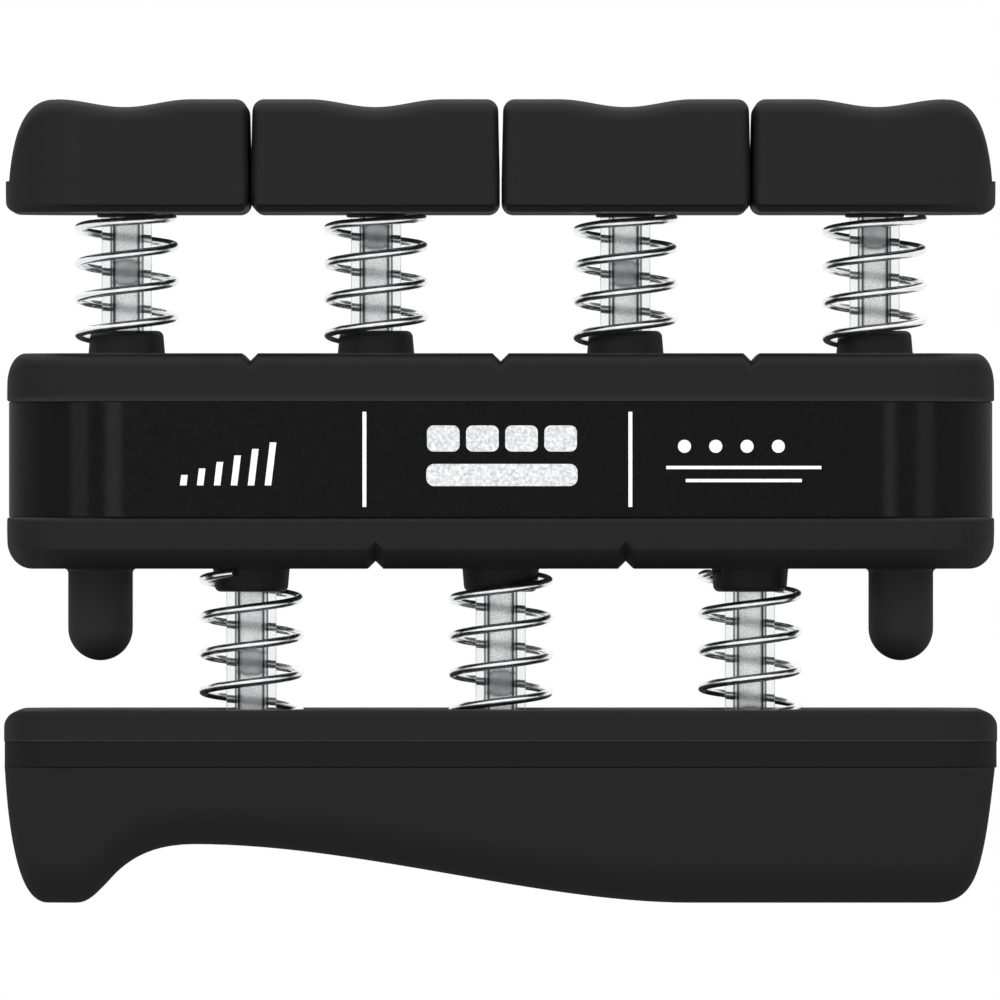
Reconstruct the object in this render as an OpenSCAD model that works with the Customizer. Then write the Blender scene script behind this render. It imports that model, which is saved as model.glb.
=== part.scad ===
// Finger exerciser: four sprung finger buttons over a housing, which slides on three sprung stems
// over a palm bar. Width along X, depth along Y with the front at -Y, height along Z.
// The origin is at the middle of the underside of the palm bar.

/* [Fingers] */
// Distance from one finger stem to the next
finger_pitch = 19.25; // [18.6:0.05:19.4]
// Depth of a finger button, front to back
button_d = 22; // [20:0.5:23]
// Height of a button's tray, below its parting line
tray_h = 2.4; // [2.2:0.1:3]
// Height of a button's cap, above its parting line
cap_h = 6.25; // [6:0.05:7]
// How deep the finger dip in a cap is
dip = 0.6; // [0.3:0.1:0.9]
// Gap between neighbouring buttons
button_gap = 0.12; // [0.1:0.02:0.4]
// Height of the gap between the buttons and the housing
finger_gap = 10.85; // [10.2:0.05:11.2]
// Travel of a finger button
finger_travel = 7; // [5:0.1:7]

/* [Housing] */
// Width of the housing
housing_w = 76; // [75:0.5:76.5]
// Depth of the housing
housing_d = 22; // [21:0.5:23]
// Height of the housing
housing_h = 16.55; // [16:0.05:17]
// Height of the rim above the label
upper_rim_h = 3.7; // [3.2:0.1:4]
// Height of the rim below the label
lower_rim_h = 3.95; // [3.4:0.05:4.2]
// Wall of the two shells
wall = 2; // [1.8:0.1:2.2]
// Radius of the rims' corners, seen from above
rim_r = 6; // [5:0.5:7]
// Radius of the label band's corners, seen from above
band_r = 9; // [8:0.5:9.5]
// How far the label band lies below the rims
band_recess = 0.25; // [0.25:0.05:0.4]
// Thickness of the label film
label_t = 0.2; // [0.15:0.05:0.2]
// Diameter of the two stop posts
post_dia = 5; // [4:0.1:6]
// Length of the two stop posts
post_l = 7.1; // [6.5:0.1:7.5]
// Distance of a stop post from the middle
post_x = 30.9; // [30:0.1:32]

/* [Stems and springs] */
// Width of a hexagonal stem over its corners
stem_w = 3.9; // [3.6:0.1:4.2]
// Clearance all round between a stem and its guide hole
stem_fit = 0.08; // [0.05:0.01:0.1]
// Outer diameter of the springs
spring_dia = 8.1; // [7.8:0.1:8.3]
// Diameter of the spring wire
wire = 0.65; // [0.5:0.05:0.7]
// Rise of one turn of a finger spring
finger_coil_pitch = 2.72; // [2.4:0.01:3]
// Rise of one turn of a palm spring
palm_coil_pitch = 2.87; // [2.6:0.01:3.2]

/* [Palm bar] */
// Width of the palm bar
palm_w = 76.4; // [76:0.1:77]
// Depth of the palm bar
palm_d = 24; // [22:0.5:26]
// Height of the grip under the palm plate
grip_h = 12.4; // [12:0.1:13]
// Thickness of the palm plate
plate_h = 2.4; // [2.3:0.1:3]
// Height of the gap between the palm plate and the housing
palm_gap = 10.85; // [10.8:0.05:11.2]
// Travel of the housing towards the palm bar
palm_travel = 3.7; // [2:0.1:3.7]

/* [Hidden] */
$fn = 64;
eps = 0.01;

FINGERS = ["index", "middle", "ring", "little"];
PALM_PLACES = ["left", "middle", "right"];

// Heights, from the ground up
plate_z = grip_h;
plate_top = plate_z + plate_h;
housing_z = plate_top + palm_gap;
housing_top = housing_z + housing_h;
band_z = housing_z + lower_rim_h;
band_top = housing_top - upper_rim_h;
split_z = housing_z + housing_h / 2;
tray_z = housing_top + finger_gap;
cap_z = tray_z + tray_h;
cap_top = cap_z + cap_h;

// Places of the stems: the palm stems lie between the finger stems
function finger_x(i) = (i - 1.5) * finger_pitch;
function palm_x(i) = (i - 1) * finger_pitch;

// Bosses, flanges and the tubes that guide them
boss_h = 1.8;
boss_top_r = 2.85;
boss_base_r = 2.95;
flange_r = 3.2;
flange_h = 1.2;
tube_bore_r = 3.35;
tube_r = 4.4;
flange_gap = 0.05;
finger_tube_l = flange_h + finger_travel + 0.8;
palm_tube_l = flange_h + palm_travel + 0.8;

// How a stem is held in its tray or plate
socket_h = 3.3;
socket_r = 3.1;
socket_floor = 1.2;
socket_fit = 0.02;
collar_r = 2.3;
collar_h = 0.3;
screw_r = 0.88;
screw_l = 3.4;
screw_tip = 0.7;
pilot_r = 0.9;
pilot_l = 3.3;
clear_r = 1.1;
head_r = 2;
head_h = 1.4;
pocket_r = 3.4;
peg_r = 1.2;
peg_fit = 0.04;

// The palm plate's spring pockets
spring_pocket_r = spring_dia / 2 + 0.35;
spring_pocket_h = 1.2;

// Where the wire of each spring starts, as an angle seen from above
finger_spring_start = [49, 51, 71, 83];
palm_spring_start = [259, 87, 224];
// The end turns of a finger spring: turns by which the foot is steeper, and the top flatter
spring_end_turn = 0.35;
finger_spring_lift = 0.08;
finger_spring_close = 0.16;

black_plastic = [0.10, 0.10, 0.11];
satin_black = [0.14, 0.14, 0.15];
grip_black = [0.12, 0.12, 0.12];
film_black = [0.05, 0.05, 0.06];
clear_plastic = [0.85, 0.86, 0.86];
spring_steel = [0.78, 0.79, 0.80];
screw_steel = [0.62, 0.63, 0.65];

// Points along an arc, from angle a0 to a1
function arc(c, r, a0, a1, n = 8) =
    [for (i = [0:n]) c + r * [cos(a0 + (a1 - a0) * i / n), sin(a0 + (a1 - a0) * i / n)]];

// Points along a cubic curve from p to s, which leaves towards q and arrives from r
function curve(p, q, r, s, n = 12) =
    [for (i = [0:n]) let (t = i / n, u = 1 - t)
        u * u * u * p + 3 * u * u * t * q + 3 * u * t * t * r + t * t * t * s];

// A block with rounded corners, seen from above, from z to z + h
module rounded_block(w, d, r, z, h) {
    translate([0, 0, z]) {
        translate([-w / 2 + r, -d / 2, 0]) cube([w - 2 * r, d, h]);
        translate([-w / 2, -d / 2 + r, 0]) cube([w, d - 2 * r, h]);
        for (x = [-1, 1], y = [-1, 1])
            translate([x * (w / 2 - r), y * (d / 2 - r), 0]) cylinder(r = r, h = h);
    }
}

// Extrudes an outline of X and Z right through, front to back
module front_outline(points, d = 40) {
    rotate([90, 0, 0]) translate([0, 0, -d / 2]) linear_extrude(d) polygon(points);
}

// Extrudes an outline of Y and Z right through, side to side
module side_outline(points, w = 90) {
    rotate([90, 0, 90]) translate([0, 0, -w / 2]) linear_extrude(w) polygon(points);
}

// Outline of a box of half width w from z to top, with its upper corners rounded
function round_top(w, z, top, r) = concat(
    [[-w, z], [w, z]],
    arc([w - r, top - r], r, 0, 90),
    arc([-w + r, top - r], r, 90, 180));

// A pan-head screw with its head on the plane z = 0 and its shank hanging down
module pan_head_screw() {
    slot_l = 2.2;
    slot_w = 0.5;
    slot_depth = 0.7;
    difference() {
        union() {
            rotate_extrude() polygon(concat(
                [[0, 0], [head_r, 0]],
                arc([head_r - 0.6, head_h - 0.6], 0.6, 0, 90),
                [[0, head_h]]));
            translate([0, 0, -screw_l]) cylinder(r = screw_r, h = screw_l + eps);
            translate([0, 0, -screw_l - screw_tip]) cylinder(r1 = 0.2, r2 = screw_r, h = screw_tip + eps);
        }
        for (a = [0, 90])
            rotate([0, 0, a]) translate([-slot_l / 2, -slot_w / 2, head_h - slot_depth])
                cube([slot_l, slot_w, slot_depth + 1]);
    }
}

// A stem of length l with its flange on the plane z = 0 and its free end up
module hex_stem(l) {
    difference() {
        union() {
            cylinder(r = flange_r, h = flange_h);
            cylinder(r = stem_w / 2, h = l, $fn = 6);
        }
        translate([0, 0, l - pilot_l]) cylinder(r = pilot_r, h = pilot_l + 1);
    }
}

// A boss on the plane z = 0, with a rounded shoulder and a small fillet at its foot
module boss() {
    shoulder = 0.5;
    foot = 0.1;
    rotate_extrude() polygon(concat(
        [[0, -0.5], [boss_base_r + foot, -0.5], [boss_base_r + foot, 0]],
        arc([boss_base_r + foot, foot], foot, -90, -180, 4),
        arc([boss_top_r - shoulder, boss_h - shoulder], shoulder, 0, 90, 6),
        [[0, boss_h]]));
}

// A compression spring on the plane z = 0, open at both ends, made of rings swept along a helix.
// Its foot rises steeper by lift turns and its top is flattened by close turns.
module coil_spring(l, pitch, start, lift = 0, close = 0) {
    sides = 8;
    steps_per_turn = 24;
    r = (spring_dia - wire) / 2;
    turns = (l - wire) / pitch - lift + close;
    steps = ceil(turns * steps_per_turn);
    lead = atan2(pitch, 360 * r * PI / 180);
    function ring(i) =
        let (t = turns * i / steps,
             a = start + 360 * t,
             foot_share = min(1, t / spring_end_turn),
             top_share = max(0, 1 - (turns - t) / spring_end_turn),
             z = wire / 2 + pitch * (t + lift * foot_share - close * top_share),
             out = [cos(a), sin(a), 0],
             up = [sin(lead) * sin(a), -sin(lead) * cos(a), cos(lead)])
        [for (k = [0:sides - 1])
            let (b = 360 * k / sides)
            out * (r + wire / 2 * cos(b)) + up * (wire / 2 * sin(b)) + [0, 0, z]];
    points = [for (i = [0:steps]) each ring(i)];
    tube = [for (i = [0:steps - 1], k = [0:sides - 1])
        let (a = i * sides + k, b = i * sides + (k + 1) % sides)
        [a, a + sides, b + sides, b]];
    polyhedron(points, concat(tube,
        [[for (k = [0:sides - 1]) k]],
        [[for (k = [sides - 1:-1:0]) steps * sides + k]]));
}

// Outline of the palm grip from the front: a low hump at the left, a shallow hollow, a long flat foot
module palm_grip() {
    top_w = palm_w / 2;
    hump = [-32.6, 0];
    hollow = [-23.5, 4.5];
    foot = [14.5, 0];
    corner = [33.4, 0];
    seam_z = grip_h - 2;
    seam = 0.25;
    side_r = 3.5;
    color(grip_black) difference() {
        intersection() {
            front_outline(concat(
                curve([-top_w, grip_h], [-top_w + 0.2, 5.5], [-top_w + 1, 0], [-34.8, 0]),
                curve(hump, [-30.2, 0], [-30, 4.5], hollow),
                curve(hollow, [-11, 4.5], [3, 0], foot, 20),
                curve(corner, [37, 0], [37.2, 3.2], [top_w, grip_h])));
            rounded_block(palm_w, palm_d, 5.5, 0, grip_h);
            union() {
                side_outline(round_side(palm_d / 2, 0, grip_h, side_r));
                translate([-50, -palm_d / 2, side_r + 4.5]) cube([100, palm_d, grip_h]);
            }
        }
        for (i = [0:2])
            translate([palm_x(i), 0, grip_h - 5.2]) cylinder(r = pocket_r, h = 6);
        for (x = [-1, 1])
            translate([x * 1.5 * finger_pitch, 0, grip_h - 3]) cylinder(r = peg_r + peg_fit, h = 4);
        difference() {
            translate([-50, -20, seam_z]) cube([100, 40, seam]);
            rounded_block(palm_w - 1.2, palm_d - 0.6, 5.2, seam_z - 1, 3);
        }
    }
}

// Outline of a box of half depth w from z to top, with its lower corners rounded
function round_side(w, z, top, r) = concat(
    [[w, top], [-w, top]],
    arc([-w + r, z + r], r, 180, 270),
    arc([w - r, z + r], r, 270, 360));

module palm_plate() {
    color(satin_black) difference() {
        union() {
            intersection() {
                rounded_block(palm_w, palm_d, 5.5, plate_z, plate_h);
                front_outline(round_top(palm_w / 2, plate_z, plate_top, 1.4));
                side_outline(round_top(palm_d / 2, plate_z, plate_top, 1));
            }
            for (i = [0:2])
                translate([palm_x(i), 0, plate_z - 3.4]) cylinder(r = socket_r, h = 3.4 + eps);
            for (x = [-1, 1])
                translate([x * 1.5 * finger_pitch, 0, plate_z - 2.6]) cylinder(r = peg_r, h = 2.6 + eps);
        }
        for (i = [0:2]) translate([palm_x(i), 0, 0]) {
            translate([0, 0, plate_top - spring_pocket_h]) cylinder(r = spring_pocket_r, h = 2);
            translate([0, 0, plate_z - 3.4 + socket_floor])
                cylinder(r = stem_w / 2 + socket_fit, h = 8, $fn = 6);
            translate([0, 0, plate_z - 4]) cylinder(r = clear_r, h = 3);
        }
    }
}

// The palm stem's flange rests on the floor of the housing, and its free end points down
palm_stem_top = housing_z + wall + flange_gap + flange_h;
palm_stem_end = plate_z - 3.4 + socket_floor;

module palm_stem(i) {
    color(clear_plastic) translate([palm_x(i), 0, palm_stem_top]) mirror([0, 0, 1])
        hex_stem(palm_stem_top - palm_stem_end);
}

module palm_screw(i) {
    color(screw_steel) translate([palm_x(i), 0, plate_z - 3.4]) mirror([0, 0, 1])
        pan_head_screw();
}

module palm_spring(i) {
    spring_z = plate_top - spring_pocket_h;
    color(spring_steel) translate([palm_x(i), 0, spring_z])
        coil_spring(housing_z - spring_z, palm_coil_pitch, palm_spring_start[i]);
}

// Outer shape of the whole housing: two rims and a recessed band between them
module housing_block(z, h) {
    corner_r = 2;
    edge_r = 1;
    low_edge_r = 1.4;
    w = housing_w / 2;
    d = housing_d / 2;
    intersection() {
        translate([-50, -50, z]) cube([100, 100, h]);
        front_outline(concat(
            arc([-w + corner_r, housing_z + corner_r], corner_r, 180, 270),
            arc([w - corner_r, housing_z + corner_r], corner_r, 270, 360),
            arc([w - corner_r, housing_top - corner_r], corner_r, 0, 90),
            arc([-w + corner_r, housing_top - corner_r], corner_r, 90, 180)));
        side_outline(concat(
            arc([-d + low_edge_r, housing_z + low_edge_r], low_edge_r, 180, 270),
            arc([d - low_edge_r, housing_z + low_edge_r], low_edge_r, 270, 360),
            arc([d - edge_r, housing_top - edge_r], edge_r, 0, 90),
            arc([-d + edge_r, housing_top - edge_r], edge_r, 90, 180)));
        union() {
            rounded_block(housing_w, housing_d, rim_r, housing_z, lower_rim_h);
            rounded_block(housing_w - 2 * band_recess, housing_d - 2 * band_recess, band_r,
                housing_z, housing_h);
            rounded_block(housing_w, housing_d, rim_r, band_top, upper_rim_h);
        }
    }
}

// The space inside both shells
module housing_hollow(z, h) {
    rounded_block(housing_w - 2 * wall - 2 * band_recess, housing_d - 2 * wall - 2 * band_recess,
        band_r - wall, z, h);
}

// A V-shaped groove across an edge at height z
module edge_groove(x, z) {
    groove_w = 1.3;
    groove_h = 0.65;
    translate([x, 0, z]) rotate([90, 0, 0]) translate([0, 0, -20]) linear_extrude(40)
        polygon([[-groove_w / 2, 0], [0, -groove_h], [groove_w / 2, 0], [0, groove_h]]);
}

// Places of the six pegs that align the two shells
module peg_places() {
    for (x = [-1, 0, 1], y = [-1, 1])
        translate([x * 1.25 * finger_pitch, y * 7.2, 0]) children();
}

module upper_housing() {
    ceiling = housing_top - wall;
    color(black_plastic) difference() {
        union() {
            difference() {
                housing_block(split_z, housing_h);
                housing_hollow(split_z - 1, ceiling - split_z + 1);
                for (i = [0:2]) edge_groove(palm_x(i), housing_top);
            }
            for (i = [0:3]) translate([finger_x(i), 0, 0]) {
                translate([0, 0, housing_top]) boss();
                translate([0, 0, ceiling - finger_tube_l]) cylinder(r = tube_r, h = finger_tube_l + eps);
            }
            peg_places() translate([0, 0, split_z]) cylinder(r = 2, h = ceiling - split_z + eps);
        }
        for (i = [0:3]) translate([finger_x(i), 0, 0]) {
            translate([0, 0, ceiling - 20]) cylinder(r = tube_bore_r, h = 20);
            translate([0, 0, ceiling - 1]) cylinder(r = stem_w / 2 + stem_fit, h = 10, $fn = 6);
        }
        peg_places() translate([0, 0, split_z - 1]) cylinder(r = peg_r + peg_fit, h = 3.8);
    }
}

module lower_housing() {
    floor_z = housing_z + wall;
    color(black_plastic) difference() {
        union() {
            difference() {
                housing_block(housing_z - 1, housing_h / 2 + 1);
                housing_hollow(floor_z, housing_h);
                for (x = [-1, 1]) edge_groove(x * finger_pitch / 2, housing_z);
            }
            for (i = [0:2]) translate([palm_x(i), 0, 0]) {
                translate([0, 0, housing_z]) mirror([0, 0, 1]) boss();
                translate([0, 0, floor_z - eps]) cylinder(r = tube_r, h = palm_tube_l);
            }
            for (x = [-1, 1]) translate([x * post_x, 0, housing_z]) stop_post();
            peg_places() {
                translate([0, 0, floor_z - eps]) cylinder(r = 2, h = split_z - floor_z + eps);
                translate([0, 0, split_z - eps]) cylinder(r = peg_r, h = 2.6);
            }
        }
        for (i = [0:2]) translate([palm_x(i), 0, 0]) {
            translate([0, 0, floor_z]) cylinder(r = tube_bore_r, h = 20);
            translate([0, 0, floor_z - 8]) cylinder(r = stem_w / 2 + stem_fit, h = 9, $fn = 6);
        }
    }
}

// A stop post that hangs from the plane z = 0 and ends in a dome
module stop_post() {
    r = post_dia / 2;
    foot = 0.3;
    rotate_extrude() polygon(concat(
        [[0, 0.5], [r + foot, 0.5], [r + foot, 0]],
        arc([r + foot, -foot], foot, 90, 180, 4),
        arc([0, -post_l + r], r, 0, -90, 12)));
}

module wrap_label() {
    gap = 0.05;
    inner_w = housing_w - 2 * band_recess;
    inner_d = housing_d - 2 * band_recess;
    color(film_black) difference() {
        rounded_block(inner_w + 2 * label_t, inner_d + 2 * label_t, band_r + label_t,
            band_z + gap, band_top - band_z - 2 * gap);
        rounded_block(inner_w, inner_d, band_r, band_z, band_top - band_z);
    }
}

// Half width of a middle button, and the outer side of an end button, measured from its own stem
button_half_w = (finger_pitch - button_gap) / 2;
end_half_w = 38.1 - 1.5 * finger_pitch;

// Which way a button's outer end points: -1 on the first, 1 on the last, 0 in the middle
function outward(i) = i == 0 ? -1 : i == 3 ? 1 : 0;

// A button seen from above, from z to z + h. The outer end of an end button has large corners.
module button_plan(i, z, h, inset = 0) {
    inner_r = 1;
    outer_r = 6;
    side = outward(i);
    w = button_half_w - inset;
    if (side == 0) {
        rounded_block(2 * w, button_d - 2 * inset, inner_r, z, h);
    } else {
        outer_w = end_half_w - inset;
        intersection() {
            translate([side * (outer_w - w), 0, 0])
                rounded_block(outer_w + w + abs(outer_w - w), button_d - 2 * inset, outer_r, z, h);
            translate([side * (outer_w - w) / 2, 0, 0])
                cube([outer_w + w, 100, 400], center = true);
        }
        translate([side * (outer_w - w - 8) / 2, 0, 0])
            rounded_block(outer_w + w - 8, button_d - 2 * inset, inner_r, z, h);
    }
}

// Top line of a cap: level, with a smooth dip in the middle where the finger lies
function dip_line(half, n = 16) =
    [for (i = [n:-1:-n]) let (x = half * i / n)
        [x, cap_top - dip * (1 + cos(180 * x / half)) / 2]];

// Outline of a cap from the front. The sides lean in a little, and an end cap's outer side is rounded off.
function cap_side(half) = concat(
    [[half, cap_z]],
    arc([half - 1, cap_top - 0.9], 0.8, 10, 90, 6));
function cap_end(half) = curve(
    [half - 0.3, cap_z], [half - 0.55, cap_z + 4],
    [half - 1.7, cap_top + 0.1], [half - 4, cap_top - 0.05]);
function mirrored(points) = [for (i = [len(points) - 1:-1:0]) [-points[i][0], points[i][1]]];
function cap_outline(i) = concat(
    outward(i) > 0 ? cap_end(end_half_w) : cap_side(button_half_w),
    dip_line(5.2),
    mirrored(outward(i) < 0 ? cap_end(end_half_w) : cap_side(button_half_w)));

module finger_cap(i) {
    core_w = 4.6;
    core_d = 5;
    core_h = 3.4;
    color(black_plastic) translate([finger_x(i), 0, 0]) difference() {
        intersection() {
            button_plan(i, cap_z, cap_h);
            front_outline(cap_outline(i));
            side_outline(round_top(button_d / 2, cap_z, cap_top, 1.6));
        }
        translate([0, 0, cap_z - 1]) cylinder(r = pocket_r, h = 4.7);
        for (x = [-1, 1]) {
            translate([x * 5.8, 0, cap_z - 1]) cylinder(r = peg_r + peg_fit, h = 3.8);
            for (y = [-1, 1])
                translate([x * 4.9 - core_w / 2, y * 6.4 - core_d / 2, cap_z - 1])
                    cube([core_w, core_d, core_h + 1]);
        }
    }
}

module finger_tray(i) {
    chamfer = 0.8;
    bevel_side = [[-button_d / 2 + chamfer, tray_z], [button_d / 2 - chamfer, tray_z],
        [button_d / 2, tray_z + chamfer], [button_d / 2, cap_z], [-button_d / 2, cap_z],
        [-button_d / 2, tray_z + chamfer]];
    right = outward(i) > 0 ? end_half_w : button_half_w;
    left = outward(i) < 0 ? -end_half_w : -button_half_w;
    bevel_front = [[left + chamfer, tray_z], [right - chamfer, tray_z], [right, tray_z + chamfer],
        [right, cap_z], [left, cap_z], [left, tray_z + chamfer]];
    color(black_plastic) translate([finger_x(i), 0, 0]) difference() {
        union() {
            intersection() {
                button_plan(i, tray_z, tray_h);
                front_outline(bevel_front);
                side_outline(bevel_side);
            }
            translate([0, 0, cap_z - eps]) cylinder(r = socket_r, h = 1.8);
            translate([0, 0, tray_z - collar_h]) cylinder(r = collar_r, h = 1);
            for (x = [-1, 1])
                translate([x * 5.8, 0, cap_z - eps]) cylinder(r = peg_r, h = 2.5);
        }
        translate([0, 0, tray_z - 2]) cylinder(r = stem_w / 2 + socket_fit, h = 2 + socket_h, $fn = 6);
        translate([0, 0, tray_z]) cylinder(r = clear_r, h = 8);
    }
}

// The finger stem's flange rests under the top of the housing, and its free end points up
finger_stem_z = housing_top - wall - flange_gap - flange_h;
finger_stem_end = tray_z + socket_h;

module finger_stem(i) {
    color(clear_plastic) translate([finger_x(i), 0, finger_stem_z])
        hex_stem(finger_stem_end - finger_stem_z);
}

module finger_screw(i) {
    color(screw_steel) translate([finger_x(i), 0, cap_z + 1.8 - eps]) pan_head_screw();
}

module finger_spring(i) {
    color(spring_steel) translate([finger_x(i), 0, housing_top])
        coil_spring(finger_gap, finger_coil_pitch, finger_spring_start[i],
            finger_spring_lift, finger_spring_close);
}

palm_grip();
palm_plate();
upper_housing();
lower_housing();
wrap_label();
for (i = [0:2]) {
    palm_stem(i);
    palm_screw(i);
    palm_spring(i);
}
for (i = [0:3]) {
    finger_cap(i);
    finger_tray(i);
    finger_stem(i);
    finger_screw(i);
    finger_spring(i);
}
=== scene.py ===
import math

import bmesh
import bpy
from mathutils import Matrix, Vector


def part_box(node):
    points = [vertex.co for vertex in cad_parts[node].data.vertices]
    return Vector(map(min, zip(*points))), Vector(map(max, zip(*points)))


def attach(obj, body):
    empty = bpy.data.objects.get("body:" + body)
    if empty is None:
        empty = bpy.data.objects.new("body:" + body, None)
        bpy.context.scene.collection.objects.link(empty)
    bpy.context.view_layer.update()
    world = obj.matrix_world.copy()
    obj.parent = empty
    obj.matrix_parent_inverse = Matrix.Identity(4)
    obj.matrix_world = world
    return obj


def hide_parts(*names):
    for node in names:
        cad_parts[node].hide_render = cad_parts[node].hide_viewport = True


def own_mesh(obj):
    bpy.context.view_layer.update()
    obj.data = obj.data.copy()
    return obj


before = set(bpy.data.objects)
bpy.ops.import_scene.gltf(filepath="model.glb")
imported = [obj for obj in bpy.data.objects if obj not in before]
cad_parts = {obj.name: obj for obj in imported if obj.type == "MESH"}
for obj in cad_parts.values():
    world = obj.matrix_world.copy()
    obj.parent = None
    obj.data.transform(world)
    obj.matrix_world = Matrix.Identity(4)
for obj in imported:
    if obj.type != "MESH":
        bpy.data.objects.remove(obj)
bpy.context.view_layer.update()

# Looks of the finger exerciser: moulded black shells, clear stems, bright coil springs and a soft palm grip.
# Lengths are in metres. Sizes written in millimetres are multiplied by MM.

MM = 0.001

FINGERS = ["index", "middle", "ring", "little"]
PALM_PLACES = ["left", "middle", "right"]


# ---------------------------------------------------------------- places taken from the frame

def middle_x(node):
    """Where the middle of a node lies along X."""
    low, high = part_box(node)
    return (low.x + high.x) / 2


plate_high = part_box("palm_plate")[1]
grip_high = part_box("palm_grip")[1]
label_low, label_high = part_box("wrap_label")
cap_low, cap_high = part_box("finger_cap_middle")
tray_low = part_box("finger_tray_middle")[0]
shell_low, shell_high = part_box("upper_housing")

PLATE_TOP = plate_high.z
GRIP_TOP = grip_high.z
HOUSING_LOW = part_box("palm_spring_middle")[1].z
HOUSING_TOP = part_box("finger_spring_index")[0].z
LABEL_GAP = 0.05 * MM
BAND_LOW = label_low.z - LABEL_GAP
BAND_HIGH = label_high.z + LABEL_GAP
COLLAR_H = 0.3 * MM
TRAY_LOW = tray_low.z + COLLAR_H
SEAM_Z = cap_low.z
CAP_TOP = cap_high.z
SPLIT_Z = shell_low.z

HOUSING_HALF_W = shell_high.x
HOUSING_HALF_D = shell_high.y
PALM_HALF_W = plate_high.x
PALM_HALF_D = plate_high.y
BUTTON_HALF_D = cap_high.y
BUTTON_HALF_W = (cap_high.x - cap_low.x) / 2

# Sizes of the details, as the CAD model has them
BOSS_H = 1.8 * MM
BOSS_R = 2.95 * MM
BOSS_TOP_R = 2.85 * MM
STEM_R = 1.95 * MM
HOLE_R = 2.03 * MM
RIM_R = 6.0 * MM
BAND_R = 9.0 * MM
BAND_RECESS = 0.25 * MM
POST_R = 2.5 * MM
POST_X = 30.9 * MM
WIRE = 0.65 * MM
SPRING_R = 3.725 * MM
FINGER_PITCH = 2.72 * MM
PALM_PITCH = 2.87 * MM
SPRING_POCKET_R = 4.4 * MM
SPRING_POCKET_H = 1.2 * MM
FLANGE_R = 3.2 * MM
FLANGE_H = 1.2 * MM
BORE_R = 3.35 * MM
FINGER_TRAVEL = 7.0 * MM
PALM_TRAVEL = 3.7 * MM

# Small values that only keep meshes sound: points closer than WELD are joined, a profile starts AXIS away from
# its own axis, edges that stay out of sight are rounded by HIDDEN_R, and pieces of one shell overlap by JOIN
WELD = 0.0005 * MM
AXIS = 0.001 * MM
HIDDEN_R = 0.02 * MM
JOIN = 0.3 * MM


# ---------------------------------------------------------------- colour and material helpers

def srgb(code):
    """A hex colour such as "2B2B2D" as linear red, green, blue and alpha."""
    channels = [int(code[i:i + 2], 16) / 255 for i in (0, 2, 4)]
    linear = [c / 12.92 if c <= 0.04045 else ((c + 0.055) / 1.055) ** 2.4 for c in channels]
    return (*linear, 1.0)


def add(tree, kind, settings=None, **links):
    """Adds a node of that kind. settings are its properties and socket values, links the sockets that feed it."""
    made = tree.nodes.new(kind)
    for key, value in (settings or {}).items():
        if isinstance(key, int) or key in made.inputs:
            made.inputs[key].default_value = value
        else:
            setattr(made, key, value)
    for key, source in links.items():
        target = made.inputs[int(key[1:])] if key[0] == "_" else made.inputs[key.replace("_", " ")]
        tree.links.new(source, target)
    return made


def new_material(name, settings):
    """A material with one Principled shader. Returns the material, its tree, the shader and object coordinates."""
    material = bpy.data.materials.new(name)
    material.use_nodes = True
    tree = material.node_tree
    tree.nodes.clear()
    shader = add(tree, "ShaderNodeBsdfPrincipled", settings)
    add(tree, "ShaderNodeOutputMaterial", Surface=shader.outputs["BSDF"])
    place = add(tree, "ShaderNodeTexCoord").outputs["Object"]
    return material, tree, shader, place


def per_mm(size):
    """Texture scale for a pattern whose features are that many millimetres apart."""
    return 1 / (size * MM)


def ramp(tree, source, low, high, from_low=0.3, from_high=0.7):
    """Spreads a noise value over the range low to high."""
    return add(tree, "ShaderNodeMapRange",
               {"From Min": from_low, "From Max": from_high, "To Min": low, "To Max": high},
               Value=source).outputs["Result"]


def tint(tree, source, dark, light):
    """Mixes two colours by a value from 0 to 1."""
    mix = add(tree, "ShaderNodeMix", {"data_type": "RGBA"})
    mix.inputs[6].default_value = srgb(dark)
    mix.inputs[7].default_value = srgb(light)
    tree.links.new(source, mix.inputs[0])
    return mix.outputs[2]


def mix_colours(tree, factor, first, second):
    """Mixes two colour sockets by a factor from 0 to 1."""
    mix = add(tree, "ShaderNodeMix", {"data_type": "RGBA"})
    for source, number in ((factor, 0), (first, 6), (second, 7)):
        tree.links.new(source, mix.inputs[number])
    return mix.outputs[2]


def moulded_plastic(name, dark, light, rough, grain_mm, grain_depth, settings=None):
    """Injection-moulded plastic. The mould's spark-eroded grain gives fine bumps and an even, slightly cloudy
    gloss."""
    material, tree, shader, place = new_material(name, {"IOR": 1.5, **(settings or {})})
    cloud = add(tree, "ShaderNodeTexNoise", {"Scale": per_mm(7), "Detail": 3.0}, Vector=place)
    grain = add(tree, "ShaderNodeTexNoise", {"Scale": per_mm(grain_mm), "Detail": 2.0}, Vector=place)
    tree.links.new(tint(tree, cloud.outputs["Fac"], dark, light), shader.inputs["Base Color"])
    tree.links.new(ramp(tree, cloud.outputs["Fac"], rough - 0.04, rough + 0.04), shader.inputs["Roughness"])
    bump = add(tree, "ShaderNodeBump", {"Strength": 0.6, "Distance": grain_depth * MM},
               Height=grain.outputs["Fac"])
    tree.links.new(bump.outputs["Normal"], shader.inputs["Normal"])
    return material


# ABS, moulded in a fine-grained tool: satin black with soft, wide reflections
SATIN_ABS = moulded_plastic("abs_satin_black", "323233", "373738", 0.42, 0.22, 0.004)

# ABS of the finger buttons: the same moulding, handled more, so a little smoother
BUTTON_ABS = moulded_plastic("abs_button_black", "353536", "393939", 0.4, 0.25, 0.003)

# ABS of the palm plate: satin, a shade lighter where the mould was blasted
PLATE_ABS = moulded_plastic("abs_plate_black", "333334", "383839", 0.45, 0.22, 0.004)

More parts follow.
